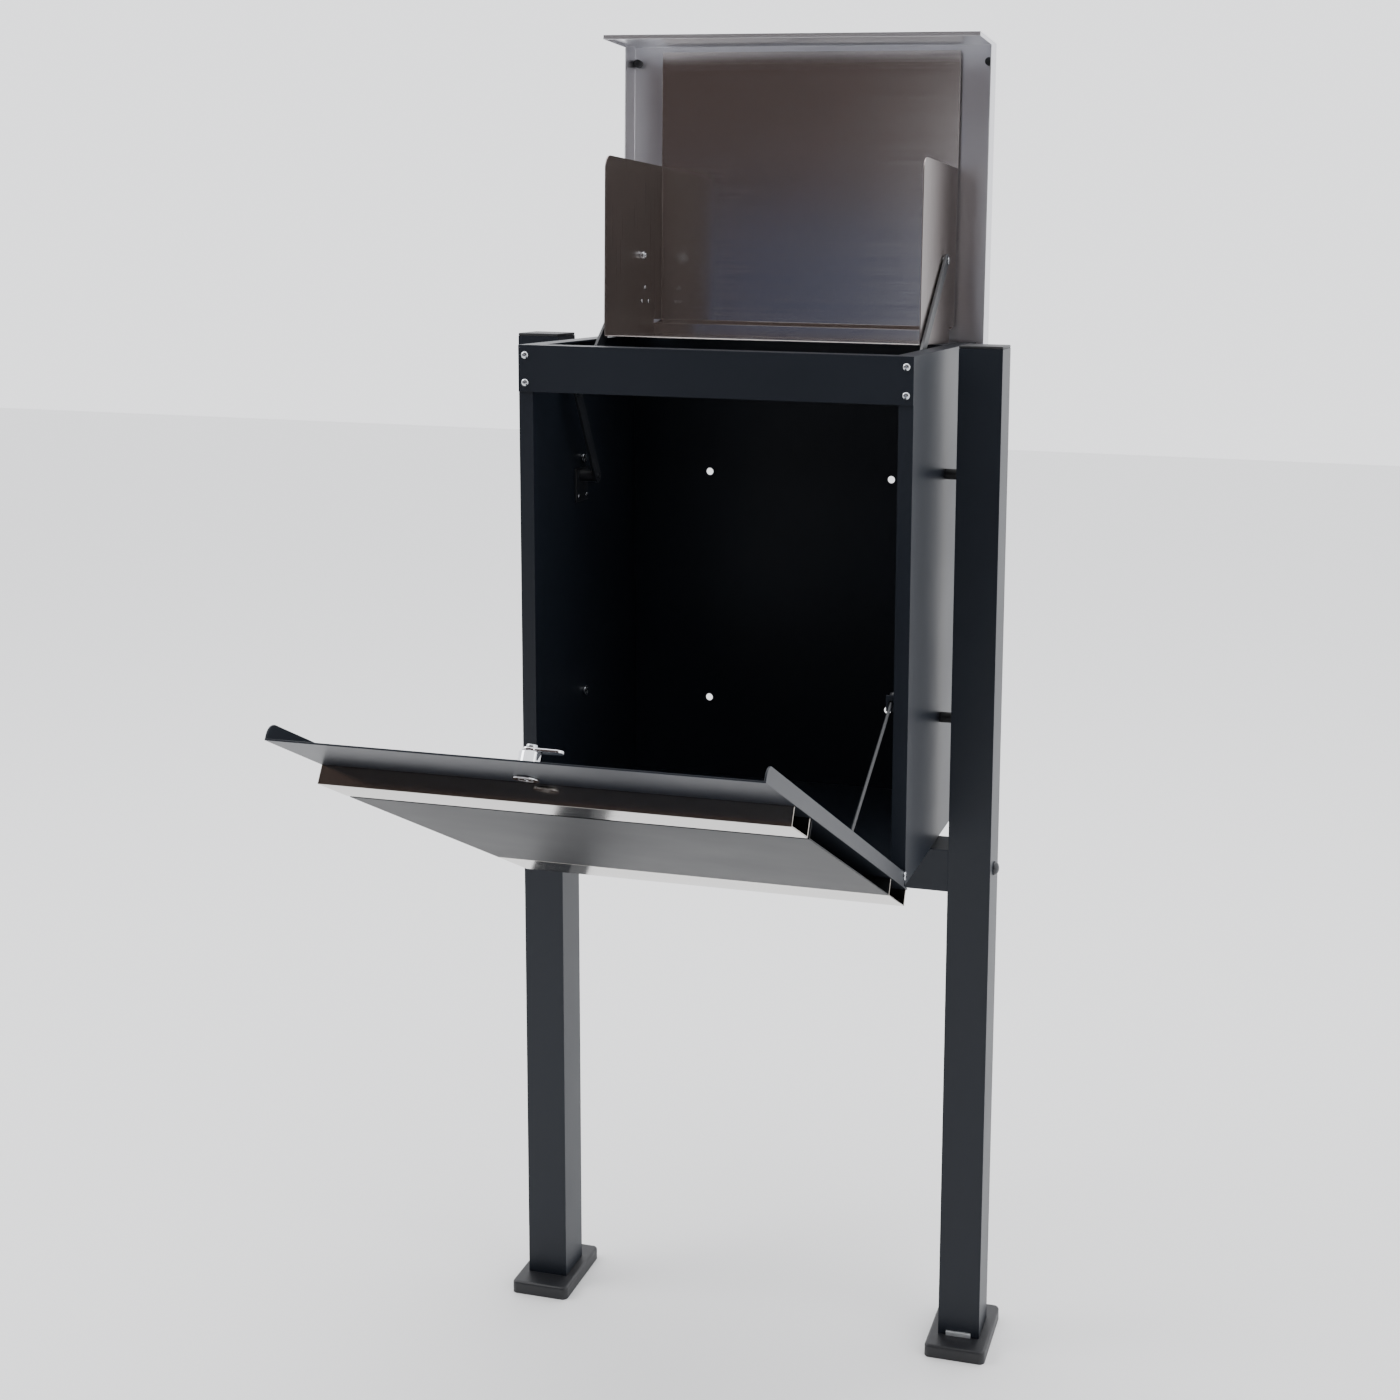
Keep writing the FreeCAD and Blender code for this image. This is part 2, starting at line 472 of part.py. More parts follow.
# ---------------------------------------------------------------- lid stays
def build_stays():
    """Builds the two-bar stay each side: with the lid and the box wall it makes a parallelogram."""
    stud = (sheet.stud_y, sheet.stud_z)
    anchor = (sheet.anchor_pin_y, sheet.anchor_pin_z)
    lean = FreeCAD.Placement(
        FreeCAD.Vector(), FreeCAD.Rotation(FreeCAD.Vector(1, 0, 0), 90 - LID_OPEN),
        FreeCAD.Vector(0, sheet.lid_hinge_y, sheet.lid_hinge_z))
    leaned = lean.multVec(FreeCAD.Vector(0, stud[0], stud[1]))
    stud = (leaned.y, leaned.z)
    elbow = (stud[0] + anchor[0] - sheet.lid_hinge_y, stud[1] + anchor[1] - sheet.lid_hinge_z)
    thick = sheet.stay_thick
    wide = sheet.stay_wide
    brackets = []
    rivets = []
    for word, side in SIDES:
        upper = bar_between(word + "_upper_bar", side, sheet.upper_stay_x, thick, wide, stud, elbow)
        bores = []
        for tag, point, radius in (("stud", stud, sheet.stud_r + sheet.running),
                                   ("elbow", elbow, sheet.stud_r + 0.4)):
            low = sheet.upper_stay_x if side > 0 else -sheet.upper_stay_x - thick
            bore = doc.addObject("Part::Feature", f"{word}_upper_{tag}_bore")
            bore.Shape = Part.makeCylinder(radius, thick, FreeCAD.Vector(low, *point),
                                           FreeCAD.Vector(1, 0, 0))
            bores.append(bore)
        node(f"{word}_upper_stay", cut(f"{word}_upper_stay", upper, bores))

        lower = bar_between(word + "_lower_bar", side, sheet.lower_stay_x, thick, wide, anchor, elbow)
        low = sheet.lower_stay_x if side > 0 else -sheet.lower_stay_x - thick
        bore = doc.addObject("Part::Feature", f"{word}_lower_anchor_bore")
        bore.Shape = Part.makeCylinder(sheet.stud_r + sheet.running, thick, FreeCAD.Vector(low, *anchor),
                                       FreeCAD.Vector(1, 0, 0))
        reach = sheet.lower_stay_x - sheet.upper_stay_x + 0.6
        pin_low = sheet.upper_stay_x - 0.6 if side > 0 else -sheet.lower_stay_x
        pin = doc.addObject("Part::Feature", f"{word}_elbow_pin")
        pin.Shape = Part.makeCylinder(sheet.stud_r, reach, FreeCAD.Vector(pin_low, *elbow),
                                      FreeCAD.Vector(1, 0, 0))
        node(f"{word}_lower_stay", fuse(f"{word}_lower_stay", [cut(f"{word}_lower_cut", lower, [bore]),
                                                               pin]))

        seat = "( lower_stay_x + stay_thick + 0.6 )"
        boss = side_disc(word + "_anchor_boss", side, seat, "anchor_pin_y", "anchor_pin_z", "6",
                         f"box_width / 2 - sheet - {seat}")
        pin = side_disc(word + "_anchor_pin", side, "lower_stay_x - 0.6", "anchor_pin_y", "anchor_pin_z",
                        "stud_r", "stay_thick + 1.4")
        foot = block(word + "_anchor_foot",
                     (mirrored(side, "box_width / 2 - sheet - 2", "2"), "anchor_pin_y - 14",
                      "anchor_pin_z - 28"),
                     ("2", "32", "36"))
        brackets.append(fuse(word + "_stay_anchor", [boss, pin, foot]))
        for index, (shift_y, shift_z) in enumerate((("12", "-3"), ("12", "-22"), ("-8", "-22"))):
            rivets.append(side_disc(f"{word}_anchor_rivet_{index}", side, "box_width / 2 - sheet - 3.4",
                                    f"anchor_pin_y + {shift_y}", f"anchor_pin_z + {shift_z}", "2.6", "1.4"))
    node("stay_anchors", group("stay_anchors", brackets))
    node("anchor_rivets", group("anchor_rivets", rivets))


# ---------------------------------------------------------------- door
def channel(name, low, top, front):
    """Makes one open-ended C-section strip across the door, measured closed."""
    skin = "trim_sheet"
    face = block(name + "_face", ("0 - trim_half", front, low), ("2 * trim_half", skin, f"{top} - {low}"))
    webs = [block(f"{name}_web_{place}", ("0 - trim_half", front, level),
                  ("2 * trim_half", "trim_deep", skin))
            for place, level in (("low", low), ("top", f"{top} - {skin}"))]
    node(name, fuse(name, [face] + webs), "door")


def build_door():
    """Builds the door pan, its three strips and its hinge pins, measured closed."""
    tall = "( door_top - door_low )"
    skin = block("door_skin", ("0 - door_half", "0 - door_front", "door_low"),
                 ("2 * door_half", "sheet", tall))
    flange_front = "( sheet - door_front )"
    flange_deep = "( door_front - door_rear - sheet )"
    pieces = [skin]
    bores = []
    pins = []
    lugs = []
    for word, side in SIDES:
        inner = "door_half - sheet"
        pieces.append(block(word + "_door_flange", (mirrored(side, inner, "sheet"), flange_front,
                                                    "door_hinge_z"),
                            ("sheet", flange_deep, "door_top - door_hinge_z")))
        corner = block(word + "_flange_corner",
                       (mirrored(side, inner, "sheet"), "0 - door_rear - flange_round",
                        "door_top - flange_round"),
                       ("sheet", "flange_round", "flange_round"))
        rounding = side_disc(word + "_flange_rounding", side, inner, "0 - door_rear - flange_round",
                             "door_top - flange_round", "flange_round", "sheet")
        bores.append(cut(word + "_flange_notch", corner, [rounding]))
        pieces.append(block(word + "_door_ear_web", (mirrored(side, inner, "sheet"), flange_front,
                                                     "door_hinge_z - ear_r"),
                            ("sheet", "door_hinge_y - sheet + door_front", "ear_r")))
        pieces.append(side_disc(word + "_door_ear", side, inner, "door_hinge_y", "door_hinge_z", "ear_r",
                                "sheet"))
        bores.append(side_disc(word + "_ear_bore", side, inner, "door_hinge_y", "door_hinge_z",
                               "door_pin_r", "sheet"))
        shaft = side_disc(word + "_door_pin_shaft", side, "box_width / 2 - 6.5", "door_hinge_y",
                          "door_hinge_z",
                          "door_pin_r", "door_half - box_width / 2 + 6.5")
        head = side_disc(word + "_door_pin_head", side, "door_half", "door_hinge_y", "door_hinge_z", "4.4",
                         "1.8")
        pins.append(fuse(word + "_door_pin", [shaft, head]))
        plate = block(word + "_lug_foot",
                      (mirrored(side, "box_width / 2 - 5.5", "3.5"), "door_hinge_y",
                       "door_hinge_z - ear_r"),
                      ("3.5", "0 - box_depth / 2 - door_hinge_y", "2 * ear_r"))
        eye = side_disc(word + "_lug_eye", side, "box_width / 2 - 5.5", "door_hinge_y", "door_hinge_z",
                        "ear_r", "3.5")
        hole = side_disc(word + "_lug_bore", side, "box_width / 2 - 5.5", "door_hinge_y", "door_hinge_z",
                         "door_pin_r + running", "3.5")
        lugs.append(cut(word + "_door_lug", fuse(word + "_lug_blank", [plate, eye]), [hole]))
    bores.append(disc("lock_window", "Y", ("lock_x", "0 - door_front", "lock_z"), "lock_barrel_r + running",
                      "sheet"))
    node("door_pan", cut("door_pan", fuse("door_sheet", pieces), bores), "door")
    node("door_hinge_pins", group("door_hinge_pins", pins), "door")
    node("door_hinge_lugs", group("door_hinge_lugs", lugs))

    front = "( 0 - door_front - trim_deep )"
    channel("upper_trim", "upper_trim_low", "upper_trim_top", front)
    channel("centre_panel", "panel_low", "panel_top", front)
    channel("lower_trim", "door_low", "lower_trim_top", front)


# ---------------------------------------------------------------- lock
def build_lock():
    """Builds the cam lock near the door's free edge, unlocked, measured on the closed door."""
    barrel = disc("lock_barrel", "Y", ("lock_x", "0 - door_front", "lock_z"), "lock_barrel_r",
                  "door_front - lock_rear")
    face = disc("lock_face_ring", "Y", ("lock_x", "0 - door_front - lock_face", "lock_z"), "lock_face_r",
                "lock_face")
    bore = disc("lock_bore", "Y", ("lock_x", "0 - door_front - lock_face", "lock_z"), "plug_r + running",
                "door_front + lock_face - lock_rear")
    node("lock_body", cut("lock_body", fuse("lock_blank", [barrel, face]), [bore]), "door")

    ring = disc("lock_nut_ring", "Y", ("lock_x", "sheet - door_front", "lock_z"), "13", "4")
    thread = disc("lock_nut_thread", "Y", ("lock_x", "sheet - door_front", "lock_z"), "lock_barrel_r", "4")
    node("lock_nut", cut("lock_nut", ring, [thread]), "door")

    plug = disc("plug_core", "Y", ("lock_x", "0 - door_front - lock_face", "lock_z"), "plug_r",
                "door_front + lock_face - lock_rear + 0.4")
    keyway = block("plug_keyway", ("lock_x - 0.9", "0 - door_front - lock_face", "lock_z - 3.6"),
                   ("1.8", "9", "7.2"))
    node("lock_plug", cut("lock_plug", plug, [keyway]), "door")

    rear = "( 0.4 - lock_rear )"
    arm = block("cam_arm", ("lock_x", rear, "lock_z - cam_wide / 2"),
                ("cam_long - cam_wide / 2", "cam_thick", "cam_wide"))
    hub = disc("cam_hub", "Y", ("lock_x", rear, "lock_z"), "cam_wide / 2 + 2", "cam_thick")
    tip = disc("cam_tip", "Y", ("lock_x + cam_long - cam_wide / 2", rear, "lock_z"), "cam_wide / 2",
               "cam_thick")
    node("lock_cam", fuse("lock_cam", [arm, hub, tip]), "door")

    screw = disc("cam_screw_head", "Y", ("lock_x", "0.4 - lock_rear + cam_thick", "lock_z"), "4.5", "3")
    node("cam_screw", group("cam_screw", [screw]), "door")


# ---------------------------------------------------------------- door stay
def build_door_stay():
    """Builds the sliding rod that holds the door, its pin on the door and its eyelet on the box.

    The eyelet lies on the circle that the rod's pin follows about the door hinge, so the rod turns
    exactly half as fast as the door and always passes through the middle of the eyelet.
    """
    hinge_y = sheet.door_hinge_y
    hinge_z = sheet.door_hinge_z
    swing = sheet.rod_swing
    pin_y = -159
    pin_z = hinge_z + math.sqrt(swing ** 2 - (pin_y - hinge_y) ** 2)
    eyelet_y = -sheet.eyelet_y
    eyelet_z = hinge_z + math.sqrt(swing ** 2 - (eyelet_y - hinge_y) ** 2)
    turn = FreeCAD.Placement(FreeCAD.Vector(), FreeCAD.Rotation(FreeCAD.Vector(1, 0, 0), DOOR_OPEN),
                             FreeCAD.Vector(0, hinge_y, hinge_z))
    pin_open = turn.multVec(FreeCAD.Vector(0, pin_y, pin_z))
    x_mid = sheet.rod_x
    along = FreeCAD.Vector(1, 0, 0)

    stub = Part.makeCylinder(sheet.rod_pin_r, 8, FreeCAD.Vector(x_mid - 3, pin_y, pin_z), along)
    boss = Part.makeCylinder(sheet.rod_eye_r, sheet.door_half - sheet.sheet - x_mid - 2.2,
                             FreeCAD.Vector(x_mid + 2.2, pin_y, pin_z), along)
    clip = Part.makeCylinder(3.2, 0.8, FreeCAD.Vector(x_mid - 3, pin_y, pin_z), along)
    anchor = doc.addObject("Part::Feature", "door_stay_pin")
    anchor.Shape = stub.fuse([boss, clip]).removeSplitter()
    node("door_stay_pin", anchor, "door")

    reach = FreeCAD.Vector(0, eyelet_y - pin_open.y, eyelet_z - pin_open.z)
    reach.normalize()
    centre = FreeCAD.Vector(x_mid, pin_open.y, pin_open.z)
    rod = Part.makeCylinder(sheet.rod_r, sheet.rod_long - 3, centre + reach * 3, reach)
    half = FreeCAD.Vector(1.8, 0, 0)
    eye = Part.makeCylinder(sheet.rod_eye_r, 3.6, centre - half, along)
    hole = Part.makeCylinder(sheet.rod_pin_r + sheet.running, 3.6, centre - half, along)
    stop = Part.makeCylinder(4, 4, centre + reach * (sheet.rod_long - 4), reach)
    strap = doc.addObject("Part::Feature", "door_stay")
    strap.Shape = rod.fuse([eye, stop]).cut(hole).removeSplitter()
    node("door_stay", strap)

    rim_inner = sheet.box_width / 2 - sheet.front_rim
    plate = Part.makeBox(rim_inner - x_mid + 5, 2, 16,
                         FreeCAD.Vector(x_mid - 5, eyelet_y - 1, eyelet_z - 8))
    window = Part.makeCylinder(sheet.eyelet_r, 2, FreeCAD.Vector(x_mid, eyelet_y - 1, eyelet_z),
                               FreeCAD.Vector(0, 1, 0))
    eyelet = doc.addObject("Part::Feature", "door_stay_eyelet")
    eyelet.Shape = plate.cut(window)
    node("door_stay_eyelet", eyelet)


def write_nodes():
    """Checks every object and writes one STEP file for each node."""
    doc.recompute()
    for obj in doc.Objects:
        failed = [word for word in obj.State if word in ("Invalid", "Error")]
        if failed:
            raise RuntimeError(f"{obj.Name} failed: {obj.State}")
    for label, obj in nodes.items():
        if obj.Shape.isNull() or not obj.Shape.isValid():
            raise RuntimeError(f"{label} has no valid shape")
    os.makedirs("parts", exist_ok=True)
    for label, obj in nodes.items():
        obj.Shape.exportStep(f"parts/{label}.step")
    print(len(nodes), "nodes written")


build_stand()
build_box()
build_lid()
build_bucket()
build_stays()
build_door()
build_lock()
build_door_stay()
write_nodes()
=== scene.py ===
"""Parcel letterbox on two posts, shown open, with its lid bucket, stays, drop-down door and cam lock."""

import logging
import math
from dataclasses import dataclass, field
from enum import Enum

import bmesh
import bpy
from mathutils import Matrix, Vector


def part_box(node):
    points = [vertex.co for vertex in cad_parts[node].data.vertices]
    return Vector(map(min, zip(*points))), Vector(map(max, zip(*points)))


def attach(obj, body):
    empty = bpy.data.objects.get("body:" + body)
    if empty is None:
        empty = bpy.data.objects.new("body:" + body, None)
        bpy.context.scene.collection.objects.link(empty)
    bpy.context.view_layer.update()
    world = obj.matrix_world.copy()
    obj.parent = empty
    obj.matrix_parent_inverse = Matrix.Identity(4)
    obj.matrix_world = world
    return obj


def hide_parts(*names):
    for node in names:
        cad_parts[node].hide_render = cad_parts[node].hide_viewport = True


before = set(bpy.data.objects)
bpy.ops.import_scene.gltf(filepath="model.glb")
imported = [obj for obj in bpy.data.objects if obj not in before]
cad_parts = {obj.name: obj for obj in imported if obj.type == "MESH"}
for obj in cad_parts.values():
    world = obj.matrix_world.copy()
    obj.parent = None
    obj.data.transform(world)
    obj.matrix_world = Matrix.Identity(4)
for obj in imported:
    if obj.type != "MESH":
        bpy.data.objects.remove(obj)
LOG = logging.getLogger("letterbox")
MM = 0.001
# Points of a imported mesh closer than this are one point.
MERGE_MM = 0.01
# Faces that meet flatter than this are one face.
COPLANAR = math.radians(0.6)
# Edges that turn more than this are real corners and get a small radius.
CORNER = math.radians(40)
# Edges that turn more than this stay sharp in the shading: on sheet, and on domed heads.
SHEET_SHARP = math.radians(32)
HEAD_SHARP = math.radians(35)
# Faces above this area, in square metres, are flat sheet and keep their own normal.
FLAT_AREA = 0.00006
Place = tuple[float, float, float]


# ---------------------------------------------------------------- shared tools
def linear(hex_colour: str) -> tuple[float, float, float, float]:
    """Turns an sRGB hex colour to linear.

    Args:
        hex_colour: Six hex digits after a hash.
    Returns:
        Linear red, green, blue and an alpha of 1.
    """
    parts = []
    for start in (1, 3, 5):
        value = int(hex_colour[start:start + 2], 16) / 255
        parts.append(value / 12.92 if value <= 0.04045 else ((value + 0.055) / 1.055) ** 2.4)
    return parts[0], parts[1], parts[2], 1.0


def add_node(tree: bpy.types.NodeTree, kind: str, settings: dict | None = None,
             values: dict | None = None, links: dict | None = None) -> bpy.types.Node:
    """Adds a node with its settings, socket values and incoming links.

    Args:
        tree: The tree that receives the node.
        kind: The node's type name.
        settings: Properties of the node itself.
        values: Input socket name or index to a constant.
        links: Input socket name or index to an output socket.
    Returns:
        The new node.
    """
    made = tree.nodes.new(kind)
    for name, setting in (settings or {}).items():
        setattr(made, name, setting)
    for name, value in (values or {}).items():
        made.inputs[name].default_value = value
    for name, source in (links or {}).items():
        tree.links.new(source, made.inputs[name])
    return made


class Grain(Enum):
    """Direction that a brushed surface's scratches run in."""
    ACROSS = (4.0, 900.0, 900.0)
    UPRIGHT = (900.0, 900.0, 4.0)


# ---------------------------------------------------------------- finishes
@dataclass(frozen=True)
class Finish:
    """A surface finish, made once as a material."""
    name: str
    colour: str
    metallic: float
    roughness: float
    specular: float = 0.5

    def start(self) -> tuple[bpy.types.Material, bpy.types.Node, bpy.types.Node]:
        """Makes the material with its shader and object coordinates.

        Returns:
            The material, its shader node and its coordinate node.
        """
        made = bpy.data.materials.new(self.name)
        made.use_nodes = True
        shader = made.node_tree.nodes["Principled BSDF"]
        shader.inputs["Base Color"].default_value = linear(self.colour)
        shader.inputs["Metallic"].default_value = self.metallic
        shader.inputs["Roughness"].default_value = self.roughness
        if self.metallic < 0.5:
            shader.inputs["Specular IOR Level"].default_value = self.specular
        return made, shader, add_node(made.node_tree, "ShaderNodeTexCoord")

    def material(self) -> bpy.types.Material:
        """Returns the finish's material, made the first time it is asked for."""
        known = bpy.data.materials.get(self.name)
        return known if known else self.make()

    def make(self) -> bpy.types.Material:
        """Builds the material with the finish's own pattern."""
        return self.start()[0]


@dataclass(frozen=True)
class PowderCoat(Finish):
    """Polyester powder coat: even satin with a fine orange-peel ripple that softens highlights."""
    ripple_mm: float = 1.6
    depth_mm: float = 0.012
    sheen_spread: float = 0.05
    cloud_colour: str = "#191e26"
    clouds_per_m: float = 9.0
    ripple_strength: float = 0.35

    def make(self) -> bpy.types.Material:
        """Builds colour clouding, a sheen that varies a little, and the ripple."""
        made, shader, place = self.start()
        tree = made.node_tree
        cloud = add_node(tree, "ShaderNodeTexNoise", values={"Scale": self.clouds_per_m, "Detail": 3.0},
                         links={"Vector": place.outputs["Object"]})
        tint = add_node(tree, "ShaderNodeMix", {"data_type": "RGBA"},
                        {6: linear(self.colour), 7: linear(self.cloud_colour)}, {0: cloud.outputs["Fac"]})
        tree.links.new(tint.outputs[2], shader.inputs["Base Color"])
        sheen = add_node(tree, "ShaderNodeMapRange", links={"Value": cloud.outputs["Fac"]},
                         values={"To Min": self.roughness - self.sheen_spread,
                                 "To Max": self.roughness + self.sheen_spread})
        tree.links.new(sheen.outputs[0], shader.inputs["Roughness"])
        ripple = add_node(tree, "ShaderNodeTexNoise", links={"Vector": place.outputs["Object"]},
                          values={"Scale": 1 / (self.ripple_mm * MM), "Detail": 1.0})
        bump = add_node(tree, "ShaderNodeBump", links={"Height": ripple.outputs["Fac"]},
                        values={"Strength": self.ripple_strength, "Distance": self.depth_mm * MM})
        tree.links.new(bump.outputs[0], shader.inputs["Normal"])
        return made


@dataclass(frozen=True)
class BrushedSteel(Finish):
    """Brushed 304 stainless: fine parallel scratches that streak the sheen along the grain."""
    grain: Grain = Grain.ACROSS
    spread: float = 0.07
    anisotropy: float = 0.4
    scratch_mm: float = 0.01
    scratch_strength: float = 0.05

    def make(self) -> bpy.types.Material:
        """Builds scratches as noise stretched along the grain."""
        made, shader, place = self.start()
        tree = made.node_tree
        shader.inputs["Anisotropic"].default_value = self.anisotropy
        stretch = add_node(tree, "ShaderNodeMapping", values={"Scale": self.grain.value},
                           links={"Vector": place.outputs["Object"]})
        scratch = add_node(tree, "ShaderNodeTexNoise", values={"Scale": 1.0, "Detail": 4.0},
                           links={"Vector": stretch.outputs[0]})
        sheen = add_node(tree, "ShaderNodeMapRange", links={"Value": scratch.outputs["Fac"]},
                         values={"To Min": self.roughness - self.spread,
                                 "To Max": self.roughness + self.spread})
        tree.links.new(sheen.outputs[0], shader.inputs["Roughness"])
        bump = add_node(tree, "ShaderNodeBump", links={"Height": scratch.outputs["Fac"]},
                        values={"Strength": self.scratch_strength, "Distance": self.scratch_mm * MM})
        tree.links.new(bump.outputs[0], shader.inputs["Normal"])
        return made


@dataclass(frozen=True)
class Mottled(Finish):
    """Moulded plastic, enamel or plating whose sheen varies softly from place to place."""
    patch_mm: float = 6.0
    spread: float = 0.06
    texture_mm: float = 0.01
    texture_strength: float = 0.2
    smoothest: float = 0.02

    def make(self) -> bpy.types.Material:
        """Builds the soft sheen patches and a slight surface texture."""
        made, shader, place = self.start()
        tree = made.node_tree
        patch = add_node(tree, "ShaderNodeTexNoise", links={"Vector": place.outputs["Object"]},
                         values={"Scale": 1 / (self.patch_mm * MM), "Detail": 4.0})
        sheen = add_node(tree, "ShaderNodeMapRange", links={"Value": patch.outputs["Fac"]},
                         values={"To Min": max(self.smoothest, self.roughness - self.spread),
                                 "To Max": self.roughness + self.spread})
        tree.links.new(sheen.outputs[0], shader.inputs["Roughness"])
        bump = add_node(tree, "ShaderNodeBump", links={"Height": patch.outputs["Fac"]},
                        values={"Strength": self.texture_strength, "Distance": self.texture_mm * MM})
        tree.links.new(bump.outputs[0], shader.inputs["Normal"])
        return made


# Anthracite polyester powder coat baked on steel: dark blue-grey, satin.
ANTHRACITE = PowderCoat("anthracite_powder_coat", "#161a21", 0.0, 0.4, 0.28)
# The same coat on the flat centre panel, duller: nearly black head on and grey where light grazes it. Its
# colour is a little darker and less blue than the anthracite: painted shade.
PANEL_COAT_SHADED = PowderCoat("centre_panel_coat_painted_shade", "#151618", 0.0, 0.46, 0.12, cloud_colour="#191a1d")
# Stainless sheet brushed from side to side: soft mirror with streaks.
STAINLESS = BrushedSteel("brushed_stainless_across", "#c6c1be", 1.0, 0.17)
# Stainless sheet of the lid, brushed coarser, so that it takes more of the room's light.
STAINLESS_LID = BrushedSteel("brushed_stainless_lid", "#d6d6da", 1.0, 0.34)
# Stainless sheet of the bucket's cheeks, brushed upright, with a softer sheen. Its colour is darker than
# the other stainless: painted shade for the dim inside of the bucket.
STAINLESS_UPRIGHT_SHADED = BrushedSteel("brushed_stainless_upright_painted_shade", "#908987", 1.0, 0.3, grain=Grain.UPRIGHT)
# Trim strips of finer polish: a clearer mirror. Their colour is darker and slightly warmer than the other
# stainless: painted shade that dims the floor's reflection in the strips.
STAINLESS_TRIM_DIMMED = BrushedSteel("polished_stainless_trim_painted_dim", "#a49f98", 1.0, 0.13, spread=0.04)
# Moulded polypropylene: deep black with a dull skin.
BLACK_PLASTIC = Mottled("moulded_polypropylene", "#15161a", 0.0, 0.5)
# Black-enamelled steel bar: dark with a soft gleam.
BLACK_STEEL = Mottled("black_enamelled_steel", "#202226", 0.0, 0.36)
# Zinc-plated steel: bright bluish grey, slightly cloudy.
ZINC = Mottled("zinc_plated_steel", "#c4c8cc", 1.0, 0.25, patch_mm=2.0)
# Hot-dip galvanised strip: pale and dull, with cloudy spangle.
GALVANISED = Mottled("galvanised_strip", "#d3d6d8", 1.0, 0.6, patch_mm=3.0, spread=0.1)
# Chrome-plated zinc casting: near mirror.
CHROME = Mottled("chrome_plated_casting", "#dcdde0", 1.0, 0.08, patch_mm=3.0, spread=0.03,
                 texture_mm=0.002)
# Matt paper laid under the stand: pale, with no gleam.
FLOOR_PAPER = Mottled("matt_paper_floor", "#ededed", 0.0, 0.85, patch_mm=40.0)


# ---------------------------------------------------------------- making pieces
@dataclass
class Dressing:
    """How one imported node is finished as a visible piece."""
    node: str
    finish: Finish
    slot: str
    edge_mm: float = 0.4
    segments: int = 2


def show(mesh: bpy.types.Mesh, name: str, body: str,
         nodes: tuple[str, ...]) -> bpy.types.Object:
    """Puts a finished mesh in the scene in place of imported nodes.

    Args:
        mesh: The finished mesh, placed in the shared frame.
        name: The piece's name.
        body: The body that carries it.
        nodes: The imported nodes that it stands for.
    Returns:
        The new object.
    """
    piece = bpy.data.objects.new(name, mesh)
    bpy.context.scene.collection.objects.link(piece)
    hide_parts(*nodes)
    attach(piece, body)
    LOG.info("%s: %d faces on %s", name, len(mesh.polygons), body)
    return piece


def dress(piece: Dressing, body: str) -> bpy.types.Object:
    """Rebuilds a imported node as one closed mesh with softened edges.

    Args:
        piece: The node and how it is finished.
        body: The body that carries it.
    Returns:
        The new object.
    """
    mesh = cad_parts[piece.node].data.copy()
    work = bmesh.new()
    work.from_mesh(mesh)
    bmesh.ops.remove_doubles(work, verts=work.verts, dist=MERGE_MM * MM)
    bmesh.ops.dissolve_limit(work, angle_limit=COPLANAR, verts=work.verts, edges=work.edges)
    bmesh.ops.recalc_face_normals(work, faces=work.faces)
    corners = [edge for edge in work.edges if edge.is_manifold and edge.calc_face_angle(0.0) > CORNER]
    bmesh.ops.bevel(work, geom=corners, offset=piece.edge_mm * MM, segments=piece.segments,
                    profile=0.5, affect="EDGES", clamp_overlap=True)
    work.to_mesh(mesh)
    work.free()
    mesh.materials.clear()
    mesh.materials.append(piece.finish.material())
    mesh.shade_smooth()
    mesh.set_sharp_from_angle(angle=SHEET_SHARP)
    for face in mesh.polygons:
        face.material_index = 0
        face.use_smooth = face.area < FLAT_AREA
    return show(mesh, piece.node + "_piece", body, (piece.node,))


def solid_centres(node: str) -> list[Vector]:
    """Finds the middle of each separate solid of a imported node.

    Args:
        node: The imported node's name.
    Returns:
        One point for each solid, in order of place so that every run gives the same list.
    """
    work = bmesh.new()
    work.from_mesh(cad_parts[node].data)
    bmesh.ops.remove_doubles(work, verts=work.verts, dist=MERGE_MM * MM)
    left = set(work.verts)
    centres = []
    while left:
        island = set()
        reached = [left.pop()]
        while reached:
            vertex = reached.pop()
            island.add(vertex)
            for edge in vertex.link_edges:
                other = edge.other_vert(vertex)
                if other in left:
                    left.discard(other)
                    reached.append(other)
        low = Vector(tuple(min(v.co[i] for v in island) for i in range(3)))
        high = Vector(tuple(max(v.co[i] for v in island) for i in range(3)))
        centres.append((low + high) / 2)
    work.free()
    return sorted(centres, key=lambda centre: tuple(round(value, 6) for value in centre))


class Facing(Enum):
    """Which way a fastener's head points, as a turn from straight up."""
    FRONT = (math.pi / 2, 0.0, 0.0)
    SIDEWAYS = (0.0, math.pi / 2, 0.0)


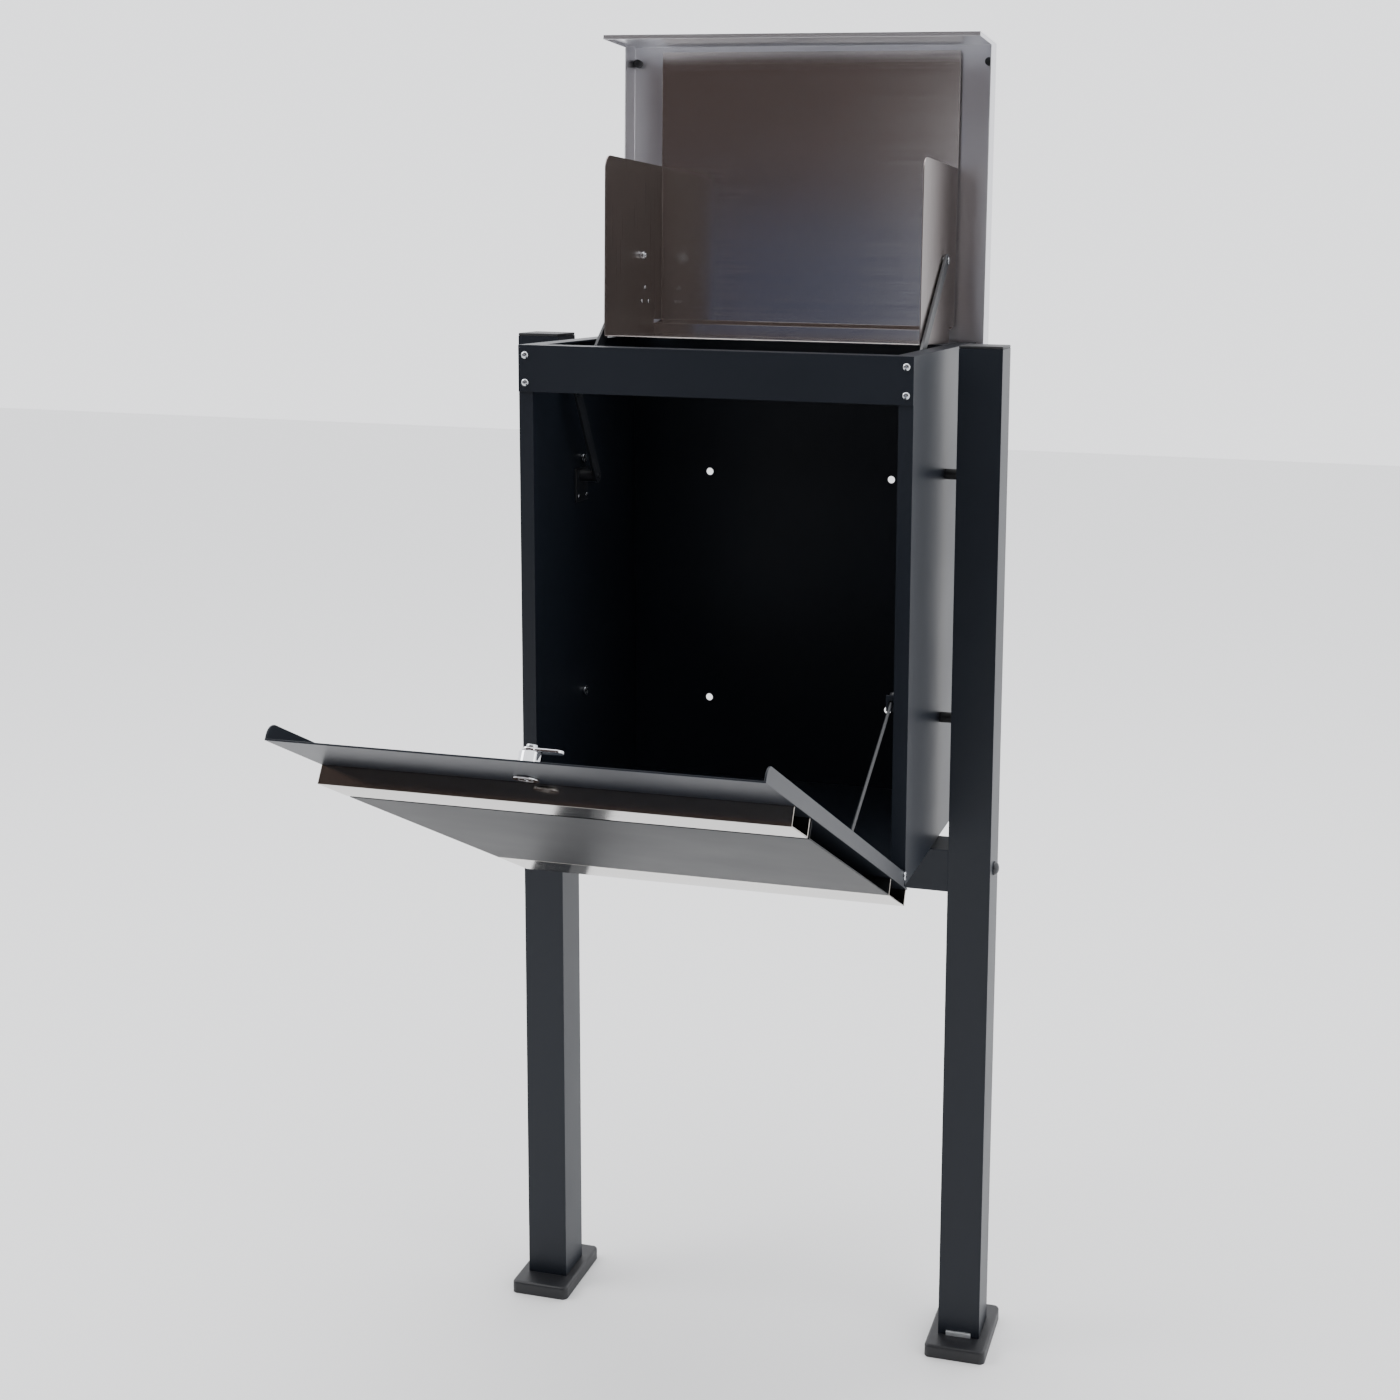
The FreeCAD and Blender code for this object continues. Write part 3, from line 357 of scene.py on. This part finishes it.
@dataclass
class Fasteners:
    """Domed heads set out by Geometry Nodes on a list of points."""
    node: str
    body: str
    slot: str
    finish: Finish
    facing: Facing
    points: list[Vector]
    head_mm: float
    dome_mm: float
    socket_mm: float = 0.0

    def tree(self) -> bpy.types.NodeTree:
        """Builds a dome, cuts a hexagon socket from it, and sets a copy at each point.

        Returns:
            The finished node tree.
        """
        tree = bpy.data.node_groups.new(self.node + "_heads", "GeometryNodeTree")
        face = tree.interface
        face.new_socket("Geometry", in_out="INPUT", socket_type="NodeSocketGeometry")
        for name in ("Head Radius", "Dome Height", "Socket Radius"):
            face.new_socket(name, in_out="INPUT", socket_type="NodeSocketFloat")
        face.new_socket("Geometry", in_out="OUTPUT", socket_type="NodeSocketGeometry")
        given = add_node(tree, "NodeGroupInput")
        radius = given.outputs["Head Radius"]
        ball = add_node(tree, "GeometryNodeMeshUVSphere",
                        values={"Segments": 32, "Rings": 16, "Radius": 1.0})
        size = add_node(tree, "ShaderNodeCombineXYZ",
                        links={"X": radius, "Y": radius, "Z": given.outputs["Dome Height"]})
        dome = add_node(tree, "GeometryNodeTransform",
                        links={"Geometry": ball.outputs["Mesh"], "Scale": size.outputs[0]})
        shape = dome.outputs["Geometry"]
        if self.socket_mm > 0:
            deep = self.dome_mm * MM
            peg = add_node(tree, "GeometryNodeMeshCylinder", values={"Vertices": 6, "Depth": deep},
                           links={"Radius": given.outputs["Socket Radius"]})
            lift = add_node(tree, "GeometryNodeTransform", values={"Translation": (0, 0, deep)},
                            links={"Geometry": peg.outputs["Mesh"]})
            carve = add_node(tree, "GeometryNodeMeshBoolean", {"operation": "DIFFERENCE"},
                             links={"Mesh 1": shape, "Mesh 2": lift.outputs["Geometry"]})
            shape = carve.outputs["Mesh"]
        copies = add_node(tree, "GeometryNodeInstanceOnPoints", values={"Rotation": self.facing.value},
                          links={"Points": given.outputs["Geometry"], "Instance": shape})
        solid = add_node(tree, "GeometryNodeRealizeInstances", links={"Geometry": copies.outputs[0]})
        dressed = add_node(tree, "GeometryNodeSetMaterial", values={"Material": self.finish.material()},
                           links={"Geometry": solid.outputs[0]})
        add_node(tree, "NodeGroupOutput", links={"Geometry": dressed.outputs[0]})
        return tree

    def build(self) -> bpy.types.Object:
        """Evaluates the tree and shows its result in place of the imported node.

        Returns:
            The object that holds all the heads.
        """
        seeds = bpy.data.meshes.new(self.node + "_points")
        seeds.from_pydata([tuple(point) for point in self.points], [], [])
        holder = bpy.data.objects.new(self.node + "_holder", seeds)
        bpy.context.scene.collection.objects.link(holder)
        modifier = holder.modifiers.new("heads", "NODES")
        modifier.node_group = self.tree()
        sizes = {"Head Radius": self.head_mm, "Dome Height": self.dome_mm,
                 "Socket Radius": self.socket_mm}
        for item in modifier.node_group.interface.items_tree:
            if item.in_out == "INPUT" and item.name in sizes:
                modifier[item.identifier] = sizes[item.name] * MM
        graph = bpy.context.evaluated_depsgraph_get()
        mesh = bpy.data.meshes.new_from_object(holder.evaluated_get(graph))
        bpy.data.objects.remove(holder)
        mesh.shade_smooth()
        mesh.set_sharp_from_angle(angle=HEAD_SHARP)
        return show(mesh, self.node + "_heads", self.body, (self.node,))


# ---------------------------------------------------------------- sub-assemblies
@dataclass
class Stand:
    """Two square posts, their caps and feet, the cross beam and the stand-off fixings."""
    body: str = "root"
    tube_edge_mm: float = 1.6
    cap_edge_mm: float = 1.0
    cover_edge_mm: float = 0.7
    plate_edge_mm: float = 0.5
    shim_edge_mm: float = 0.3
    sleeve_edge_mm: float = 0.4
    standoff_edge_mm: float = 0.6
    bolt_head_mm: float = 7.4
    bolt_dome_mm: float = 5.2

    def build(self) -> None:
        """Builds every piece of the stand."""
        for node in ("left_post", "right_post", "cross_beam"):
            dress(Dressing(node, ANTHRACITE, "anthracite_coat", self.tube_edge_mm, 3), self.body)
        dress(Dressing("post_caps", BLACK_PLASTIC, "black_plastic", self.cap_edge_mm, 3), self.body)
        for node in ("left_foot_cover", "right_foot_cover"):
            dress(Dressing(node, BLACK_PLASTIC, "black_plastic", self.cover_edge_mm), self.body)
        dress(Dressing("foot_plates", ZINC, "zinc_plate", self.plate_edge_mm), self.body)
        dress(Dressing("levelling_shim", GALVANISED, "zinc_plate", self.shim_edge_mm), self.body)
        dress(Dressing("standoff_sleeves", BLACK_PLASTIC, "black_plastic", self.sleeve_edge_mm),
              self.body)
        dress(Dressing("standoff_bolts", ZINC, "zinc_plate", self.standoff_edge_mm), self.body)
        centres = []
        for centre in solid_centres("beam_bolts"):
            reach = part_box("beam_bolts")[1][0] - self.bolt_dome_mm * MM
            centres.append(Vector((math.copysign(reach, centre.x), centre.y, centre.z)))
        Fasteners("beam_bolts", self.body, "black_steel", BLACK_STEEL, Facing.SIDEWAYS, centres,
                  self.bolt_head_mm, self.bolt_dome_mm).build()


@dataclass
class Box:
    """The fixed sheet-metal box with its front rail, rail screws and small brackets."""
    body: str = "root"
    sheet_edge_mm: float = 0.45
    bracket_edge_mm: float = 0.35
    screw_head_mm: float = 3.8
    screw_dome_mm: float = 2.0
    screw_socket_mm: float = 1.4
    rivet_head_mm: float = 2.5
    rivet_dome_mm: float = 0.7

    def build(self) -> None:
        """Builds every fixed piece of the box."""
        for node in ("left_side_wall", "right_side_wall", "rear_wall", "floor_pan", "front_top_rail",
                     "door_hinge_lugs", "door_stay_eyelet"):
            dress(Dressing(node, ANTHRACITE, "anthracite_coat", self.sheet_edge_mm), self.body)
        for node in ("lid_hinge_lugs", "lid_hinge_pins", "stay_anchors"):
            dress(Dressing(node, BLACK_STEEL, "black_steel", self.bracket_edge_mm), self.body)
        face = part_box("front_top_rail")[0][1]
        screws = [Vector((centre.x, face, centre.z)) for centre in solid_centres("rail_screws")]
        Fasteners("rail_screws", self.body, "zinc_plate", ZINC, Facing.FRONT, screws,
                  self.screw_head_mm, self.screw_dome_mm, self.screw_socket_mm).build()
        Fasteners("anchor_rivets", self.body, "zinc_plate", ZINC, Facing.SIDEWAYS,
                  solid_centres("anchor_rivets"), self.rivet_head_mm, self.rivet_dome_mm).build()


@dataclass
class Lid:
    """The brushed stainless lid with its hinge leaves, plastic bumpers and inner bucket."""
    body: str = "lid"
    sheet_edge_mm: float = 0.4
    bucket_edge_mm: float = 0.5
    cheek_edge_mm: float = 0.3
    leaf_edge_mm: float = 0.4
    bumper_edge_mm: float = 1.2
    stud_edge_mm: float = 0.3
    rivet_head_mm: float = 2.2
    rivet_dome_mm: float = 0.6

    def build(self) -> None:
        """Builds the lid shell and everything it carries."""
        steel = "brushed_stainless"
        dress(Dressing("lid_panel", STAINLESS_LID, steel, self.sheet_edge_mm, 3), self.body)
        for node in ("bucket_back", "bucket_floor", "bucket_spacers"):
            dress(Dressing(node, STAINLESS, steel, self.bucket_edge_mm, 3), self.body)
        # The cheeks take the stainless whose colour is darkened with painted shade.
        for node in ("bucket_left_side", "bucket_right_side"):
            dress(Dressing(node, STAINLESS_UPRIGHT_SHADED, steel, self.cheek_edge_mm), self.body)
        dress(Dressing("lid_hinge_leaves", BLACK_STEEL, "black_steel", self.leaf_edge_mm), self.body)
        dress(Dressing("lid_bumpers", BLACK_PLASTIC, "black_plastic", self.bumper_edge_mm, 4),
              self.body)
        dress(Dressing("stay_studs", ZINC, "zinc_plate", self.stud_edge_mm), self.body)
        Fasteners("bucket_rivets", self.body, "zinc_plate", ZINC, Facing.SIDEWAYS,
                  solid_centres("bucket_rivets"), self.rivet_head_mm, self.rivet_dome_mm).build()


@dataclass
class LidStays:
    """The two-bar stay on each side of the bucket."""
    nodes: tuple[str, ...] = ("left_upper_stay", "right_upper_stay",
                              "left_lower_stay", "right_lower_stay")
    bar_edge_mm: float = 0.5

    def build(self) -> None:
        """Builds the four bars, each on its own body."""
        for node in self.nodes:
            dress(Dressing(node, BLACK_STEEL, "black_steel", self.bar_edge_mm, 3), node)


@dataclass
class Door:
    """The drop-down door with its strips, hinge pins, lock and sliding stay."""
    body: str = "door"
    sheet_edge_mm: float = 0.45
    strip_edge_mm: float = 0.35
    pin_edge_mm: float = 0.4
    rod_edge_mm: float = 0.2
    lock_edge_mm: float = 0.4
    cam_edge_mm: float = 0.3
    # The trims take the stainless whose colour is darkened with painted shade.
    strips: dict[str, Finish] = field(default_factory=lambda: {
        "upper_trim": STAINLESS_TRIM_DIMMED, "lower_trim": STAINLESS_TRIM_DIMMED, "centre_panel": PANEL_COAT_SHADED})

    def build(self) -> None:
        """Builds the door leaf, the lock and the stay."""
        dress(Dressing("door_pan", ANTHRACITE, "anthracite_coat", self.sheet_edge_mm), self.body)
        # The centre panel's coat has its colour darkened with painted shade.
        for node, finish in self.strips.items():
            slot = "anthracite_coat" if node == "centre_panel" else "brushed_stainless"
            dress(Dressing(node, finish, slot, self.strip_edge_mm, 3), self.body)
        dress(Dressing("door_hinge_pins", ZINC, "zinc_plate", self.pin_edge_mm), self.body)
        dress(Dressing("door_stay_pin", STAINLESS, "brushed_stainless", self.rod_edge_mm), self.body)
        dress(Dressing("lock_body", CHROME, "chrome_plate", self.lock_edge_mm, 3), self.body)
        dress(Dressing("lock_nut", ZINC, "zinc_plate", self.lock_edge_mm), self.body)
        dress(Dressing("door_stay", BLACK_STEEL, "black_steel", self.rod_edge_mm), "door_stay")
        for node, finish, slot in (("lock_plug", CHROME, "chrome_plate"),
                                   ("lock_cam", CHROME, "chrome_plate"),
                                   ("cam_screw", ZINC, "zinc_plate")):
            dress(Dressing(node, finish, slot, self.cam_edge_mm), "lock")


# ---------------------------------------------------------------- studio
@dataclass
class Studio:
    """Pale floor, cards that the steel reflects, soft lights and the camera."""
    eye: Vector = field(default_factory=lambda: Vector((0.5772, -1.8145, 1.1723)))
    yaw: float = math.radians(13.0)
    pitch: float = math.radians(7.9)
    roll: float = math.radians(1.0)
    lens_mm: float = 46.74
    shift: tuple[float, float] = (-0.1465, -0.1394)
    floor_half: float = 9.0
    world_colour: str = "#fbfcff"
    world_strength: float = 2.0

    def floor(self) -> None:
        """Lays a pale matt floor."""
        mesh = bpy.data.meshes.new("studio_floor")
        half = self.floor_half
        mesh.from_pydata([(-half, -half, 0), (half, -half, 0), (half, half, 0), (-half, half, 0)], [],
                         [(0, 1, 2, 3)])
        mesh.materials.append(FLOOR_PAPER.material())
        floor = bpy.data.objects.new("studio_floor", mesh)
        bpy.context.scene.collection.objects.link(floor)

    def card(self, name: str, place: Place, size: tuple[float, float], colour: str) -> None:
        """Stands a coloured card that the steel reflects and the camera doesn't see.

        Args:
            name: The card's name.
            place: Its middle, in metres.
            size: Its width and height, in metres.
            colour: Its colour as sRGB hex.
        """
        mesh = bpy.data.meshes.new(name)
        wide, tall = size[0] / 2, size[1] / 2
        x, y, z = place
        mesh.from_pydata([(x - wide, y, z - tall), (x - wide, y, z + tall), (x + wide, y, z + tall),
                          (x + wide, y, z - tall)], [], [(0, 1, 2, 3)])
        mesh.materials.append(Mottled(name, colour, 0.0, 0.9, patch_mm=60.0).material())
        card = bpy.data.objects.new(name, mesh)
        bpy.context.scene.collection.objects.link(card)
        card.visible_camera = False
        card.visible_shadow = False

    def light(self, name: str, place: Place, aim: Place, size: float, power: float) -> None:
        """Adds a square soft light.

        Args:
            name: The light's name.
            place: Where it stands, in metres.
            aim: The point that it faces.
            size: The length of its side, in metres.
            power: Its power in watts.
        """
        data = bpy.data.lights.new(name, "AREA")
        data.size = size
        data.energy = power
        lamp = bpy.data.objects.new(name, data)
        turn = (Vector(aim) - Vector(place)).to_track_quat("-Z", "Y")
        lamp.matrix_world = Matrix.Translation(place) @ turn.to_matrix().to_4x4()
        bpy.context.scene.collection.objects.link(lamp)

    def camera(self) -> None:
        """Sets the camera with the lens shifted to frame the object."""
        data = bpy.data.cameras.new("camera")
        data.sensor_width = 36.0
        data.lens = self.lens_mm
        data.shift_x, data.shift_y = self.shift
        level = math.cos(self.pitch)
        forward = Vector((-math.sin(self.yaw) * level, math.cos(self.yaw) * level,
                          -math.sin(self.pitch)))
        right = Vector((math.cos(self.yaw), math.sin(self.yaw), 0))
        up = right.cross(forward)
        turned = math.cos(self.roll) * right + math.sin(self.roll) * up
        raised = math.cos(self.roll) * up - math.sin(self.roll) * right
        camera = bpy.data.objects.new("camera", data)
        camera.matrix_world = Matrix((
            (turned.x, raised.x, -forward.x, self.eye.x), (turned.y, raised.y, -forward.y, self.eye.y),
            (turned.z, raised.z, -forward.z, self.eye.z), (0, 0, 0, 1)))
        bpy.context.scene.collection.objects.link(camera)
        bpy.context.scene.camera = camera

    def build(self) -> None:
        """Builds the floor, the cards, the lights, the world and the camera."""
        self.floor()
        self.card("reflected_brown_card", (0.0, -4.4, 2.6), (28.0, 5.2), "#372b28")
        self.card("reflected_blue_card", (-0.75, -4.2, 0.87), (1.9, 1.36), "#2f3549")
        self.card("reflected_white_card", (-0.36, -4.1, 1.45), (0.3, 1.1), "#f4f6fa")
        world = bpy.data.worlds.new("studio")
        world.use_nodes = True
        background = world.node_tree.nodes["Background"]
        background.inputs["Color"].default_value = linear(self.world_colour)
        background.inputs["Strength"].default_value = self.world_strength
        bpy.context.scene.world = world
        middle = (0.0, 0.0, 0.8)
        self.light("key", (-3.0, -1.0, 3.0), middle, 1.8, 60)
        self.light("fill", (2.8, -1.6, 1.6), middle, 2.2, 30)
        self.light("top", (0.2, 0.6, 3.6), middle, 2.4, 50)
        self.camera()


def main() -> None:
    """Builds the letterbox piece by piece."""
    logging.basicConfig(level=logging.INFO, format="%(name)s %(message)s")
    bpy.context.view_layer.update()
    for part in (Stand(), Box(), Lid(), LidStays(), Door(), Studio()):
        part.build()


if __name__ == "__main__":
    main()
